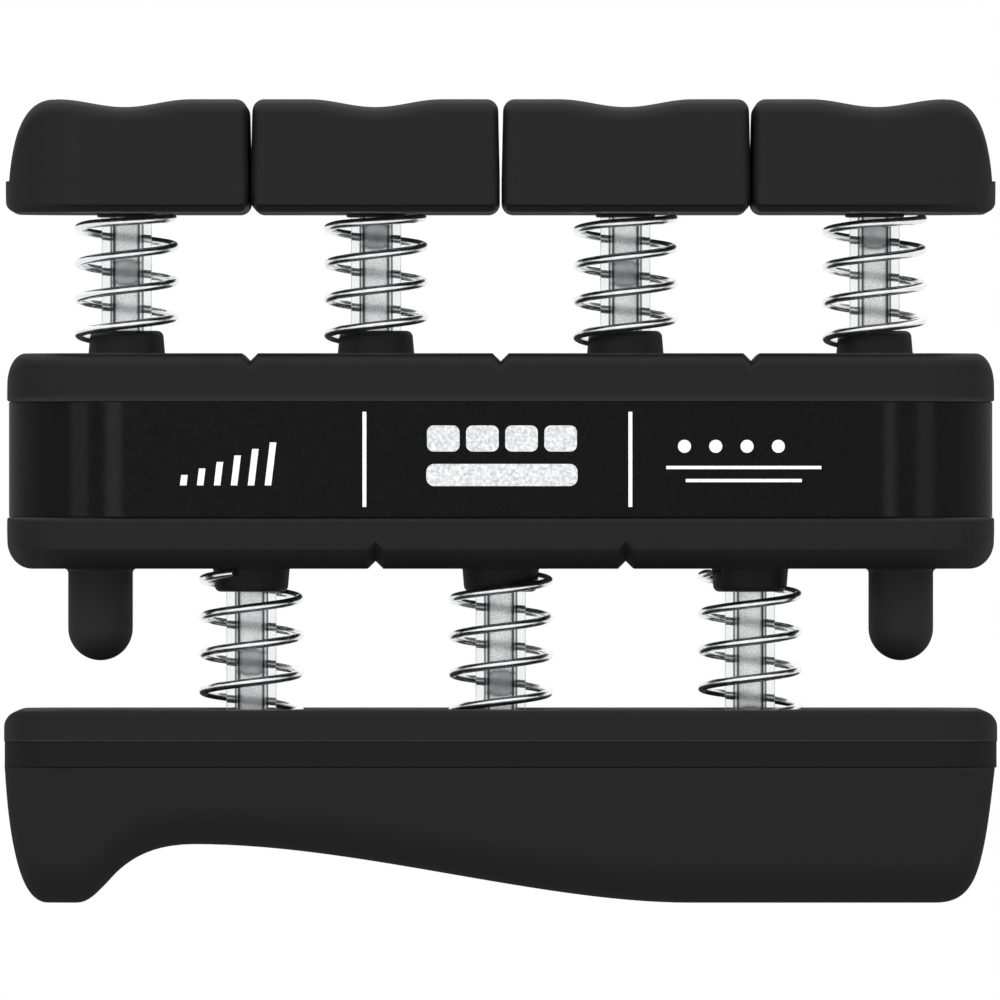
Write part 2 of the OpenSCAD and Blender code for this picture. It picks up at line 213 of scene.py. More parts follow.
# The same ABS on the stop posts, which the mould left duller; its colour is a shade greyer as painted light on the
# round posts
POST_ABS_PAINTED_LIGHT = moulded_plastic("abs_post_black_painted_light", "4C4C4E", "525254", 0.5, 0.25, 0.004)

# Thermoplastic rubber, moulded over the plate's pegs: matte, with a fine leather-like grain that scatters light
GRIP_RUBBER = moulded_plastic("tpe_grip_black", "353537", "3B3B3C", 0.72, 0.3, 0.02)

# The same rubber on the smooth band above the parting line of the mould
BAND_RUBBER = moulded_plastic("tpe_band_black", "262627", "2A2A2B", 0.6, 0.35, 0.006)


def label_film():
    """Polyester label film, printed black on the back: a deep gloss over a faintly uneven layer of glue."""
    material, tree, shader, place = new_material("polyester_film_black", {"IOR": 1.5, "Specular IOR Level": 0.6})
    speck = add(tree, "ShaderNodeTexNoise", {"Scale": per_mm(0.3), "Detail": 3.0}, Vector=place)
    sway = add(tree, "ShaderNodeTexNoise", {"Scale": per_mm(5), "Detail": 1.0}, Vector=place)
    tree.links.new(tint(tree, speck.outputs["Fac"], "060607", "0C0C0D"), shader.inputs["Base Color"])
    tree.links.new(ramp(tree, speck.outputs["Fac"], 0.12, 0.24), shader.inputs["Roughness"])
    fine = add(tree, "ShaderNodeBump", {"Strength": 0.5, "Distance": 0.002 * MM}, Height=speck.outputs["Fac"])
    wavy = add(tree, "ShaderNodeBump", {"Strength": 0.5, "Distance": 0.03 * MM},
               Height=sway.outputs["Fac"], Normal=fine.outputs["Normal"])
    tree.links.new(wavy.outputs["Normal"], shader.inputs["Normal"])
    return material


def screen_ink(name, thin, full):
    """Screen-printed ink: matte, slightly thin in places where the mesh left dots."""
    material, tree, shader, place = new_material(name, {"IOR": 1.5, "Roughness": 0.55})
    dots = add(tree, "ShaderNodeTexNoise", {"Scale": per_mm(0.25), "Detail": 2.0}, Vector=place)
    tree.links.new(tint(tree, ramp(tree, dots.outputs["Fac"], 0.0, 1.0), thin, full), shader.inputs["Base Color"])
    return material


def clear_nylon():
    """Clear nylon, moulded as a hexagonal rod.

    The mould left the front and back faces frosted with a fine grain, which scatters light. The other faces are
    glassy. The dark lines along the edges between them are painted shade in the colour, for light that the edges
    bend away. A grey spot with a dark outline on the front and back faces is painted shade where the coil behind
    darkens the rod. The mesh says how much of each there is. Real nylon bends light more. Here it bends little,
    because stronger bending doubles the dark lines of the edges.
    """
    material, tree, shader, place = new_material("nylon_clear", {"IOR": 1.06})
    # The first and third attributes are shares of painted shade: along the edges, and in the spot where the coil
    # darkens the rod
    edge = add(tree, "ShaderNodeAttribute", {"attribute_name": "edge"}).outputs["Fac"]
    frost = add(tree, "ShaderNodeAttribute", {"attribute_name": "frost"}).outputs["Fac"]
    painted_coil_shade = add(tree, "ShaderNodeAttribute", {"attribute_name": "painted_coil_shade"}).outputs["Fac"]
    grain = add(tree, "ShaderNodeTexNoise", {"Scale": per_mm(0.14), "Detail": 3.0}, Vector=place)
    flow = add(tree, "ShaderNodeTexNoise", {"Scale": per_mm(1.1), "Detail": 2.0}, Vector=place)
    speckle = add(tree, "ShaderNodeMath", {"operation": "ADD"}, _0=grain.outputs["Fac"],
                  _1=ramp(tree, flow.outputs["Fac"], -0.1, 0.1))
    clear = tint(tree, speckle.outputs[0], "E4E7E7", "FFFFFF")
    frosted = tint(tree, ramp(tree, speckle.outputs[0], 0.0, 1.0, 0.36, 0.6), "CACCCD", "FFFFFF")
    # painted shade: the grey spot where the coil behind darkens the stem
    coil_shade_tint = tint(tree, ramp(tree, flow.outputs["Fac"], 0.0, 1.0), "8E9091", "C0C2C3")
    # painted shade: the colour of the dark lines along the rod's edges and round the coil's shade spot
    line = add(tree, "ShaderNodeRGB")
    line.outputs[0].default_value = srgb("303132")
    face = mix_colours(tree, painted_coil_shade, mix_colours(tree, frost, clear, frosted), coil_shade_tint)
    tree.links.new(mix_colours(tree, edge, face, line.outputs[0]), shader.inputs["Base Color"])
    tree.links.new(ramp(tree, frost, 1.0, 0.78, 0.0, 1.0), shader.inputs["Transmission Weight"])
    tree.links.new(ramp(tree, frost, 0.06, 0.85, 0.0, 1.0), shader.inputs["Roughness"])
    bump = add(tree, "ShaderNodeBump", {"Strength": 0.5, "Distance": 0.02 * MM}, Height=flow.outputs["Fac"])
    tree.links.new(bump.outputs["Normal"], shader.inputs["Normal"])
    return material


def drawn_wire():
    """Bright spring steel: drawn through a die, so it is smooth, with faint lines and a few dull spots."""
    material, tree, shader, place = new_material("spring_steel_bright", {"Metallic": 1.0})
    spots = add(tree, "ShaderNodeTexNoise", {"Scale": per_mm(0.8), "Detail": 3.0}, Vector=place)
    lines = add(tree, "ShaderNodeTexNoise", {"Scale": per_mm(0.12), "Detail": 1.0}, Vector=place)
    tree.links.new(tint(tree, spots.outputs["Fac"], "CDCED0", "ECEDEE"), shader.inputs["Base Color"])
    tree.links.new(ramp(tree, spots.outputs["Fac"], 0.14, 0.3), shader.inputs["Roughness"])
    bump = add(tree, "ShaderNodeBump", {"Strength": 0.4, "Distance": 0.003 * MM}, Height=lines.outputs["Fac"])
    tree.links.new(bump.outputs["Normal"], shader.inputs["Normal"])
    return material


def zinc_steel():
    """Zinc-plated screw steel: bluish grey, softly mottled."""
    material, tree, shader, place = new_material("steel_zinc_plated", {"Metallic": 1.0})
    mottle = add(tree, "ShaderNodeTexNoise", {"Scale": per_mm(0.6), "Detail": 3.0}, Vector=place)
    tree.links.new(tint(tree, mottle.outputs["Fac"], "8F949B", "B4B8BD"), shader.inputs["Base Color"])
    tree.links.new(ramp(tree, mottle.outputs["Fac"], 0.25, 0.45), shader.inputs["Roughness"])
    return material


FILM = label_film()
INK = screen_ink("ink_white", "E4E4E4", "FFFFFF")
SILVER_INK = screen_ink("ink_silver", "B4B6B8", "EDEEEF")
NYLON = clear_nylon()
SPRING_STEEL = drawn_wire()
SCREW_STEEL = zinc_steel()


# ---------------------------------------------------------------- mesh helpers

SHARP_ANGLE = math.radians(32)


def finish_mesh(name, bm, material, body, replaced=()):
    """Turns a bmesh into a smooth-shaded piece that rides on a body and stands for the CAD nodes named."""
    bmesh.ops.remove_doubles(bm, verts=bm.verts, dist=WELD)
    bmesh.ops.dissolve_degenerate(bm, dist=WELD, edges=bm.edges)
    bmesh.ops.recalc_face_normals(bm, faces=bm.faces)
    for face in bm.faces:
        face.smooth = True
    for edge in bm.edges:
        edge.smooth = len(edge.link_faces) != 2 or edge.calc_face_angle(0) < SHARP_ANGLE
    mesh = bpy.data.meshes.new(name)
    bm.to_mesh(mesh)
    bm.free()
    mesh.materials.append(material)
    piece = bpy.data.objects.new(name, mesh)
    bpy.context.scene.collection.objects.link(piece)
    weighted = piece.modifiers.new("even_normals", "WEIGHTED_NORMAL")
    weighted.keep_sharp = True
    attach(piece, body)
    if replaced:
        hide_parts(*replaced)
    return piece


def bridge(bm, a, b):
    """Joins two rings with the same number of points by a band of faces."""
    for i in range(len(a)):
        j = (i + 1) % len(a)
        bm.faces.new((a[i], a[j], b[j], b[i]))


def skin_rings(bm, rings, close_ends=True):
    """Joins rings of points, each with the same number, into a tube and closes its ends."""
    made = [[bm.verts.new(p) for p in ring] for ring in rings]
    for a, b in zip(made, made[1:]):
        bridge(bm, a, b)
    if close_ends:
        bm.faces.new(made[0])
        bm.faces.new(made[-1])
    return made


def close_tube(bm, rings):
    """Joins the first ring of points to the last, so that a hole stays open through the middle."""
    bridge(bm, rings[0], rings[-1])


def turned(bm, x, profile, steps=64):
    """Turns a profile of (radius, height) points about the vertical line at x. It starts and ends on that line."""
    angles = [math.tau * i / steps for i in range(steps)]
    skin_rings(bm, [[(x + radius * math.cos(a), radius * math.sin(a), z) for a in angles] for radius, z in profile])


def cut(bm, tool, whole=None):
    """Cuts the shape of one bmesh out of another. Returns what is left, added to whole if that is given."""
    pieces = []
    for part in (bm, tool):
        bmesh.ops.recalc_face_normals(part, faces=part.faces)
        mesh = bpy.data.meshes.new("cutting")
        part.to_mesh(mesh)
        part.free()
        pieces.append(bpy.data.objects.new("cutting", mesh))
        bpy.context.scene.collection.objects.link(pieces[-1])
    modifier = pieces[0].modifiers.new("cut", "BOOLEAN")
    modifier.operation = "DIFFERENCE"
    modifier.solver = "EXACT"
    modifier.object = pieces[1]
    mesh = bpy.data.meshes.new_from_object(pieces[0].evaluated_get(bpy.context.evaluated_depsgraph_get()))
    left = whole or bmesh.new()
    left.from_mesh(mesh)
    for old in [mesh] + [piece.data for piece in pieces]:
        bpy.data.meshes.remove(old)
    return left


def arc(cu, cv, radius, start, end, steps):
    """Points along an arc in two dimensions, from one angle to another in degrees."""
    angles = [math.radians(start + (end - start) * i / steps) for i in range(steps + 1)]
    return [(cu + radius * math.cos(a), cv + radius * math.sin(a)) for a in angles]


def curve(p, q, r, s, steps):
    """Points along a cubic curve from p to s, which leaves towards q and arrives from r."""
    points = []
    for i in range(steps + 1):
        t = i / steps
        u = 1 - t
        points.append(tuple(u ** 3 * a + 3 * u * u * t * b + 3 * u * t * t * c + t ** 3 * d
                            for a, b, c, d in zip(p, q, r, s)))
    return points


def end_places(half, radius, steps):
    """Distances from the middle, where a corner of that radius starts to the end, closer together at the end."""
    return [half - radius + radius * math.sin(math.pi / 2 * i / steps) for i in range(steps + 1)]


def drawn_in(x, half, reach, depth):
    """How far a rounded corner has drawn in at x. It starts reach before the end, and is depth at the end."""
    over = min(1.0, max(0.0, (abs(x) - (half - reach)) / reach))
    return depth * (1 - math.sqrt(1 - over * over))


def section(x, half_depth, low, high, low_r, high_r, steps=7, flat=0.0, lip=0.0):
    """A rounded cross-section in Y and Z, at x, with its lower and upper corner radii.

    flat turns the lower rounding into a bevel as it goes from 0 to 1, and hollows the bevel above 1. lip flares the
    lower edge out by that much instead.
    """
    limit = 0.98 * min(half_depth, (high - low) / 2)
    low_r = max(1e-6, min(low_r, limit))
    high_r = max(1e-6, min(high_r, limit))
    side = half_depth - lip
    lower = []
    for k, (y, z) in enumerate(arc(half_depth - low_r, low + low_r, low_r, -90, 0, steps)):
        share = k / steps
        if lip:
            rise = share ** 1.7
            lower.append((side + lip * (1 - rise) ** 4, low + 4 * lip * rise))
        else:
            lower.append((y + (half_depth - low_r * (1 - share) - y) * flat, z + (low + low_r * share - z) * flat))
    half = lower + arc(side - high_r, high - high_r, high_r, 0, 90, steps)
    return [(x, y, z) for y, z in half] + [(x, -y, z) for y, z in reversed(half)]


def both_ends(places):
    """The places on the right of the middle, and the same on the left, from left to right without repeats."""
    return sorted(set(round(p, 8) for p in places) | set(round(-p, 8) for p in places))


# ---------------------------------------------------------------- housing

GROOVE_HALF_W = 0.62 * MM
GROOVE_H = 0.62 * MM


def groove(x, places):
    """Depth at x of the V-shaped grooves cut across an edge at those places."""
    nearest = min(abs(x - p) for p in places)
    return GROOVE_H * max(0.0, 1 - nearest / GROOVE_HALF_W)


def groove_stations(places):
    """Where the sections go so that each groove keeps its corners."""
    return [p + k * GROOVE_HALF_W for p in places for k in (-1.25, -1, -0.12, 0, 0.12, 1, 1.25)]


def rim(bm, low, high, low_r, high_r, low_corner, high_corner, grooves, groove_at_top, flat=0.0, lip=0.0):
    """One rim of the housing: a bar with rounded ends and V grooves across its outer edge.

    low_r and high_r round its long edges. low_corner and high_corner are the reach and the depth of the rounding
    of its lower and upper edges at the two ends.
    """
    half = HOUSING_HALF_W
    places = (end_places(half, RIM_R, 14) + end_places(half, 2.5 * MM, 14)
              + [i * half / 16 for i in range(15)])
    stations = [x for x in both_ends(places) if groove(x, grooves) == 0] + groove_stations(grooves)
    rings = []
    for x in sorted(stations):
        depth = HOUSING_HALF_D - drawn_in(x, half, RIM_R, RIM_R)
        bottom = low + drawn_in(x, half, *low_corner) + (0 if groove_at_top else groove(x, grooves))
        top = high - drawn_in(x, half, *high_corner) - (groove(x, grooves) if groove_at_top else 0)
        rings.append(section(x, depth, bottom, top, low_r, high_r, flat=flat, lip=lip))
    skin_rings(bm, rings)


def core(bm, low, high):
    """The middle band of a shell, under the label."""
    half = HOUSING_HALF_W - BAND_RECESS
    rings = []
    for x in both_ends(end_places(half, BAND_R, 16) + [0]):
        depth = HOUSING_HALF_D - BAND_RECESS - drawn_in(x, half, BAND_R, BAND_R)
        rings.append(section(x, depth, low, high, 0.05 * MM, 0.05 * MM, 2))
    skin_rings(bm, rings)


def hex_outline(x, z, angles, grow=1.0):
    """The hexagonal guide hole at height z, with a point at each of the angles."""
    sixth = math.tau / 6
    reach = [grow * HOLE_R * math.cos(sixth / 2) / math.cos(a % sixth - sixth / 2) for a in angles]
    return [(x + r * math.cos(a), r * math.sin(a), z) for r, a in zip(reach, angles)]


def channels():
    """The spaces in the housing where the stems slide: a hexagonal hole, and a round bore for the stop flange."""
    bm = bmesh.new()
    angles = [math.tau * i / 72 for i in range(72)]
    play = 0.1 * MM
    bores = []
    for finger in FINGERS:
        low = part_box("finger_stem_" + finger)[0].z
        bores.append((middle_x("finger_stem_" + finger), low - FINGER_TRAVEL - play, low + FLANGE_H + play,
                      HOUSING_TOP + 1 * MM))
    for place in PALM_PLACES:
        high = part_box("palm_stem_" + place)[1].z
        bores.append((middle_x("palm_stem_" + place), high + PALM_TRAVEL + play, high - FLANGE_H - play,
                      HOUSING_LOW - 1 * MM))
    for x, far, near, outside in bores:
        rings = [[(x + BORE_R * math.cos(a), BORE_R * math.sin(a), z) for a in angles] for z in (far, near)]
        skin_rings(bm, rings + [hex_outline(x, near, angles), hex_outline(x, outside, angles)])
    return bm


def boss(bm, x, z, up):
    """A boss with a small fillet at its foot, a rounded shoulder, and a hexagonal hole through it for the stem."""
    steps = 72
    foot = 0.12 * MM
    shoulder = 0.5 * MM
    profile = [(BOSS_R + foot, -JOIN)]
    quarter = [math.pi / 2 * i / 5 for i in range(6)]
    profile += [(BOSS_R + foot - foot * math.sin(a), foot - foot * math.cos(a)) for a in quarter]
    profile += arc(BOSS_TOP_R - shoulder, BOSS_H - shoulder, shoulder, 0, 90, 8)
    angles = [math.tau * i / steps for i in range(steps)]
    rings = [[(x + r * math.cos(a), r * math.sin(a), z + up * h) for a in angles] for r, h in profile]
    for grow, h in ((1.04, BOSS_H), (1.0, BOSS_H - 0.06 * MM), (1.0, -JOIN)):
        rings.append(hex_outline(x, z + up * h, angles, grow))
    close_tube(bm, skin_rings(bm, rings, close_ends=False))


def stop_post(bm, x, z, tip):
    """A round post that hangs under the housing and ends in a dome."""
    foot = 0.35 * MM
    profile = [(AXIS, z + 0.4 * MM), (POST_R + foot, z + 0.4 * MM)]
    quarter = [math.pi / 2 * i / 5 for i in range(6)]
    profile += [(POST_R + foot - foot * math.sin(a), z - foot + foot * math.cos(a)) for a in quarter]
    profile += arc(0, tip + POST_R, POST_R, 0, -89.5, 18)
    turned(bm, x, profile)


def upper_housing():
    """Upper shell: the top rim with its grooves, flared lower edge and four bosses, and the band down to the
    parting line."""
    bm = bmesh.new()
    grooves = [middle_x("palm_stem_" + p) for p in PALM_PLACES]
    rim(bm, BAND_HIGH, HOUSING_TOP, HIDDEN_R, 1.0 * MM, (0.25 * MM, 0.2 * MM), (1.5 * MM, 2.4 * MM), grooves, True,
        lip=0.22 * MM)
    whole = cut(bm, channels())
    bm = bmesh.new()
    core(bm, SPLIT_Z, BAND_HIGH + JOIN)
    cut(bm, channels(), whole)
    for finger in FINGERS:
        boss(whole, middle_x("finger_stem_" + finger), HOUSING_TOP, 1)
    return finish_mesh("upper_shell", whole, SATIN_ABS, "housing", ["upper_housing"])


def lower_housing():
    """Lower shell: the bottom rim with its grooves and bevelled edge, and three bosses. Under it are the two stop
    posts."""
    bm = bmesh.new()
    grooves = [(middle_x("palm_stem_middle") + middle_x("palm_stem_" + p)) / 2 for p in ("left", "right")]
    rim(bm, HOUSING_LOW, BAND_LOW, 1.5 * MM, 0.4 * MM, (2.0 * MM, 2.2 * MM), (0.25 * MM, 0.2 * MM), grooves, False,
        flat=0.8)
    whole = cut(bm, channels())
    bm = bmesh.new()
    core(bm, BAND_LOW - JOIN, SPLIT_Z)
    cut(bm, channels(), whole)
    for place in PALM_PLACES:
        boss(whole, middle_x("palm_stem_" + place), HOUSING_LOW, -1)
    finish_mesh("lower_shell", whole, SATIN_ABS, "housing", ["lower_housing"])
    bm = bmesh.new()
    for side in (-1, 1):
        stop_post(bm, side * POST_X, HOUSING_LOW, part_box("lower_housing")[0].z)
    finish_mesh("stop_posts", bm, POST_ABS_PAINTED_LIGHT, "housing")


def band_outline(grow, steps=18):
    """The label band seen from above, larger by grow all round."""
    half_w = HOUSING_HALF_W - BAND_RECESS + grow
    half_d = HOUSING_HALF_D - BAND_RECESS + grow
    r = BAND_R + grow
    return (arc(half_w - r, half_d - r, r, 0, 90, steps) + arc(r - half_w, half_d - r, r, 90, 180, steps)
            + arc(r - half_w, r - half_d, r, 180, 270, steps) + arc(half_w - r, r - half_d, r, 270, 360, steps))


def wrap_label():
    """Label film: a thin closed band round the middle of the housing, with softened edges."""
    bm = bmesh.new()
    thick = 0.18 * MM
    soft = 0.05 * MM
    low = BAND_LOW + 0.005 * MM
    high = BAND_HIGH - 0.005 * MM
    walls = [(0.0, low), (thick - soft, low), (thick, low + soft), (thick, high - soft), (thick - soft, high),
             (0.0, high)]
    rings = [[(x, y, z) for x, y in band_outline(grow)] for grow, z in walls]
    close_tube(bm, skin_rings(bm, rings, close_ends=False))
    return finish_mesh("label_film", bm, FILM, "housing", ["wrap_label"])


def print_block(bm, corners, y):
    """A flat patch of ink with its outline in X and Z, and the thickness of the ink."""
    ink = 0.012 * MM
    back = [bm.verts.new((x, y, z)) for x, z in corners]
    front = [bm.verts.new((x, y - ink, z)) for x, z in corners]
    bridge(bm, back, front)
    bm.faces.new(front)
    bm.faces.new(back)


def bar(bm, x0, x1, z0, z1, y, slant=0.0):
    """A printed bar from one corner to the other, leaning to the right by slant."""
    print_block(bm, [(x0, z0), (x1, z0), (x1 + slant, z1), (x0 + slant, z1)], y)


def round_pad(bm, x, z, half_w, half_h, r, y):
    """A printed rectangle with round corners."""
    outline = (arc(x + half_w - r, z + half_h - r, r, 0, 90, 6) + arc(x - half_w + r, z + half_h - r, r, 90, 180, 6)
               + arc(x - half_w + r, z - half_h + r, r, 180, 270, 6)
               + arc(x + half_w - r, z - half_h + r, r, 270, 360, 6))
    print_block(bm, outline, y)


def label_print():
    """Plain print on the film: two divider bars, a scale of rising bars, a small picture of four finger pads over
    a palm bar, and a row of dots over two rules."""
    bm = bmesh.new()
    y = label_low.y + 0.02 * MM
    z = (label_low.z + label_high.z) / 2
    # The two dividers
    for x in (-10.45 * MM, 9.95 * MM):
        bar(bm, x - 0.15 * MM, x + 0.15 * MM, z - 3.65 * MM, z + 3.65 * MM, y)
    # The scale: each bar stands taller than the one before, and leans by the same angle
    for k in range(6):
        x = (-24.6 + 1.3 * k) * MM
        height = (0.8 + 0.5 * k) * MM
        low = z - 2.0 * MM
        bar(bm, x, x + 0.5 * MM, low, low + height, y, 0.12 * height)
    # The dots and their two rules
    for k in range(4):
        round_pad(bm, (14.1 + 2.4 * k) * MM, z + 1.0 * MM, 0.5 * MM, 0.5 * MM, 0.49 * MM, y)
    bar(bm, 12.7 * MM, 24.6 * MM, z - 0.75 * MM, z - 0.5 * MM, y)
    bar(bm, 14.2 * MM, 23.1 * MM, z - 1.75 * MM, z - 1.5 * MM, y)
    TENT_LIT.objects.link(finish_mesh("label_print_white", bm, INK, "housing"))
    # The picture in silver ink
    bm = bmesh.new()
    for k in range(4):
        round_pad(bm, (-4.4 + 3.0 * k) * MM, z + 1.6 * MM, 1.25 * MM, 1.0 * MM, 0.5 * MM, y)
    round_pad(bm, 0.1 * MM, z - 1.2 * MM, 5.8 * MM, 0.85 * MM, 0.6 * MM, y)
    TENT_LIT.objects.link(finish_mesh("label_print_silver", bm, SILVER_INK, "housing"))


# ---------------------------------------------------------------- finger buttons

DIP = 0.6 * MM
DIP_HALF = 5.2 * MM
END_CORNER_R = 6.0 * MM
BUTTON_CORNER_R = 1.0 * MM
BUTTON_EDGE_R = 0.9 * MM


def dip_depth(x):
    """How far the finger dip has sunk at x, counted from the button's own stem."""
    return DIP * (1 + math.cos(math.pi * x / DIP_HALF)) / 2 if abs(x) < DIP_HALF else 0.0


def outward(i):
    """Which way the rounded end of a button points: left on the first, right on the last, 0 in between."""
    return {0: -1, len(FINGERS) - 1: 1}.get(i, 0)


def end_half_width(i):
    """Distance from the stem to the outer end of an end button."""
    low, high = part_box("finger_tray_" + FINGERS[i])
    x = middle_x("finger_stem_" + FINGERS[i])
    return high.x - x if outward(i) > 0 else x - low.x


def reach_and_corner(i, x):
    """How far a button reaches on the side of its stem where x lies, and its corner radius there, seen from above.

    The rounded end of an end button lies at positive x, until place_button turns it outward.
    """
    if outward(i) and x > 0:
        return end_half_width(i), END_CORNER_R
    return BUTTON_HALF_W, BUTTON_CORNER_R


def place_button(bm, i):
    """Moves a button from the origin to its stem, with its rounded end outward."""
    for v in bm.verts:
        v.co.x *= outward(i) or 1
        v.co.x += middle_x("finger_stem_" + FINGERS[i])


def button_cap(i):
    """Cap of a button: a crowned block with a dip for the finger. An end cap's outer side leans in and is rounded."""
    bm = bmesh.new()
    half = BUTTON_HALF_W
    crown_r = 1.2 * MM
    side_lean = 0.022

    def cap_section(x, top):
        reach, r = reach_and_corner(i, x)
        depth = BUTTON_HALF_D - drawn_in(x, reach, r, r)
        return section(x, depth, SEAM_Z, top, HIDDEN_R, crown_r)

    def crown(x):
        return CAP_TOP - dip_depth(x) - drawn_in(x, half, BUTTON_EDGE_R, BUTTON_EDGE_R)

    plain_end = end_places(half, BUTTON_CORNER_R, 8)
    dips = [DIP_HALF * k / 14 for k in range(-14, 15)]
    inner_end = [-x for x in reversed(plain_end)]
    rings = [cap_section(x, crown(x)) for x in inner_end + dips]
    if outward(i):
        end = end_half_width(i)
        nose = curve((end - 3.95 * MM, CAP_TOP - 0.02 * MM), (end - 1.7 * MM, CAP_TOP + 0.1 * MM),
                     (end - 0.55 * MM, SEAM_Z + 4.0 * MM), (end - 0.3 * MM, SEAM_Z), 24)
        rings += [cap_section(x, max(top, SEAM_Z + HIDDEN_R)) for x, top in nose]
    else:
        rings += [cap_section(x, crown(x)) for x in plain_end]
    skin_rings(bm, rings)
    for v in bm.verts:
        lean = side_lean * (v.co.z - SEAM_Z)
        if not outward(i) or v.co.x < 0:
            v.co.x -= math.copysign(lean, v.co.x) * min(1.0, abs(v.co.x) / half)
    place_button(bm, i)
    return finish_mesh("cap_" + FINGERS[i], bm, BUTTON_ABS, "finger_" + FINGERS[i],
                       ["finger_cap_" + FINGERS[i]])


def button_tray(i):
    """Tray of a button: a plate with bevelled lower edges, and the collar round the stem."""
    bm = bmesh.new()
    end = end_half_width(i) if outward(i) else BUTTON_HALF_W
    end_r = END_CORNER_R if outward(i) else BUTTON_CORNER_R
    end_round = 1.0 * MM
    places = [-x for x in reversed(end_places(BUTTON_HALF_W, BUTTON_CORNER_R, 8))] + [-3 * MM, 0, 3 * MM]
    places += end_places(end, end_r, 16) + end_places(end, end_round, 8)[1:-1]
    rings = []
    for x in sorted(set(places)):
        reach, r = reach_and_corner(i, x)
        depth = BUTTON_HALF_D - drawn_in(x, reach, r, r)
        low = TRAY_LOW + drawn_in(x, reach, BUTTON_EDGE_R, BUTTON_EDGE_R)
        rings.append(section(x, depth, low, SEAM_Z, 0.55 * MM, HIDDEN_R, flat=1.2))
    skin_rings(bm, rings)
    collar_r = 2.3 * MM
    soft = 0.1 * MM
    turned(bm, 0, [(AXIS, TRAY_LOW + JOIN), (collar_r, TRAY_LOW + JOIN), (collar_r, TRAY_LOW - COLLAR_H + soft),
                   (collar_r - soft, TRAY_LOW - COLLAR_H), (AXIS, TRAY_LOW - COLLAR_H)])
    place_button(bm, i)
    return finish_mesh("tray_" + FINGERS[i], bm, BUTTON_ABS, "finger_" + FINGERS[i],
                       ["finger_tray_" + FINGERS[i]])


# ---------------------------------------------------------------- stems and springs

def coil_shade_at(across, z, coil_shade_z):
    """How much of the painted shade spot of the coil and of its dark outline there is, at that distance across a face
    and that height.
    """
    d = math.sqrt((across / (1.02 * MM)) ** 4 + ((z - coil_shade_z) / (0.95 * MM)) ** 2)
    return min(1.0, max(0.0, (1.05 - d) / 0.1)), max(0.0, 1 - abs(d - 1) / 0.2)


def hex_ring(x, z, radius, coil_shade_z):
    """A hexagon at height z, its corners on the X axis and rounded.

    Each point comes with its shares of painted edge shade, frost and the painted shade spot of the coil.
    """
    soft = 0.13 * MM
    line = 0.14 * MM
    reach = (radius * math.cos(math.pi / 6) - soft) / math.cos(math.pi / 6)
    ring = []
    for k in range(6):
        corner = math.tau * k / 6
        face = corner + math.pi / 6
        frosted = k in (1, 4)
        for step in range(4):
            # corner points carry the painted shade of the dark edge lines
            a = corner + math.radians(-30 + 20 * step)
            ring.append((x + reach * math.cos(corner) + soft * math.cos(a),
                         reach * math.sin(corner) + soft * math.sin(a), z, 0.4 if k in (0, 3) else 1.0, 0.5, 0.0))
        # face points carry the frost, and the painted shade spot of the coil with its dark outline
        for step in range(9):
            along = line + (reach - 2 * line) * step / 8
            px = reach * math.cos(corner) - along * math.sin(face) + soft * math.cos(face)
            py = reach * math.sin(corner) + along * math.cos(face) + soft * math.sin(face)
            painted_coil_shade, outline = coil_shade_at(along - reach / 2, z, coil_shade_z) if frosted else (0.0, 0.0)
            ring.append((x + px, py, z, 0.85 * outline, float(frosted), painted_coil_shade))
    return ring


def stem(name, node, body, up, coil_shade_z):
    """A clear hexagonal stem with a round stop flange at its inner end, and a painted shade spot where the coil
    darkens it.
    """
    bm = bmesh.new()
    layers = [bm.verts.layers.float.new(key) for key in ("edge", "frost", "painted_coil_shade")]
    low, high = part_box(node)
    x = middle_x(node)
    heights = [low.z + 0.1 * MM + (high.z - low.z - 0.2 * MM) * k / 180 for k in range(181)]
    rings = [hex_ring(x, low.z, STEM_R - 0.1 * MM, coil_shade_z)]
    rings += [hex_ring(x, z, STEM_R, coil_shade_z) for z in heights]
    rings += [hex_ring(x, high.z, STEM_R - 0.1 * MM, coil_shade_z)]
    made = skin_rings(bm, [[point[:3] for point in ring] for ring in rings])
    for verts, points in zip(made, rings):
        for vert, point in zip(verts, points):
            for layer, share in zip(layers, point[3:]):
                vert[layer] = share
    z0 = low.z if up else high.z - FLANGE_H
    soft = 0.15 * MM
    turned(bm, x, [(AXIS, z0), (FLANGE_R - soft, z0), (FLANGE_R, z0 + soft),
                   (FLANGE_R, z0 + FLANGE_H - soft), (FLANGE_R - soft, z0 + FLANGE_H), (AXIS, z0 + FLANGE_H)])
    TENT_LIT.objects.link(finish_mesh(name, bm, NYLON, body, [node]))


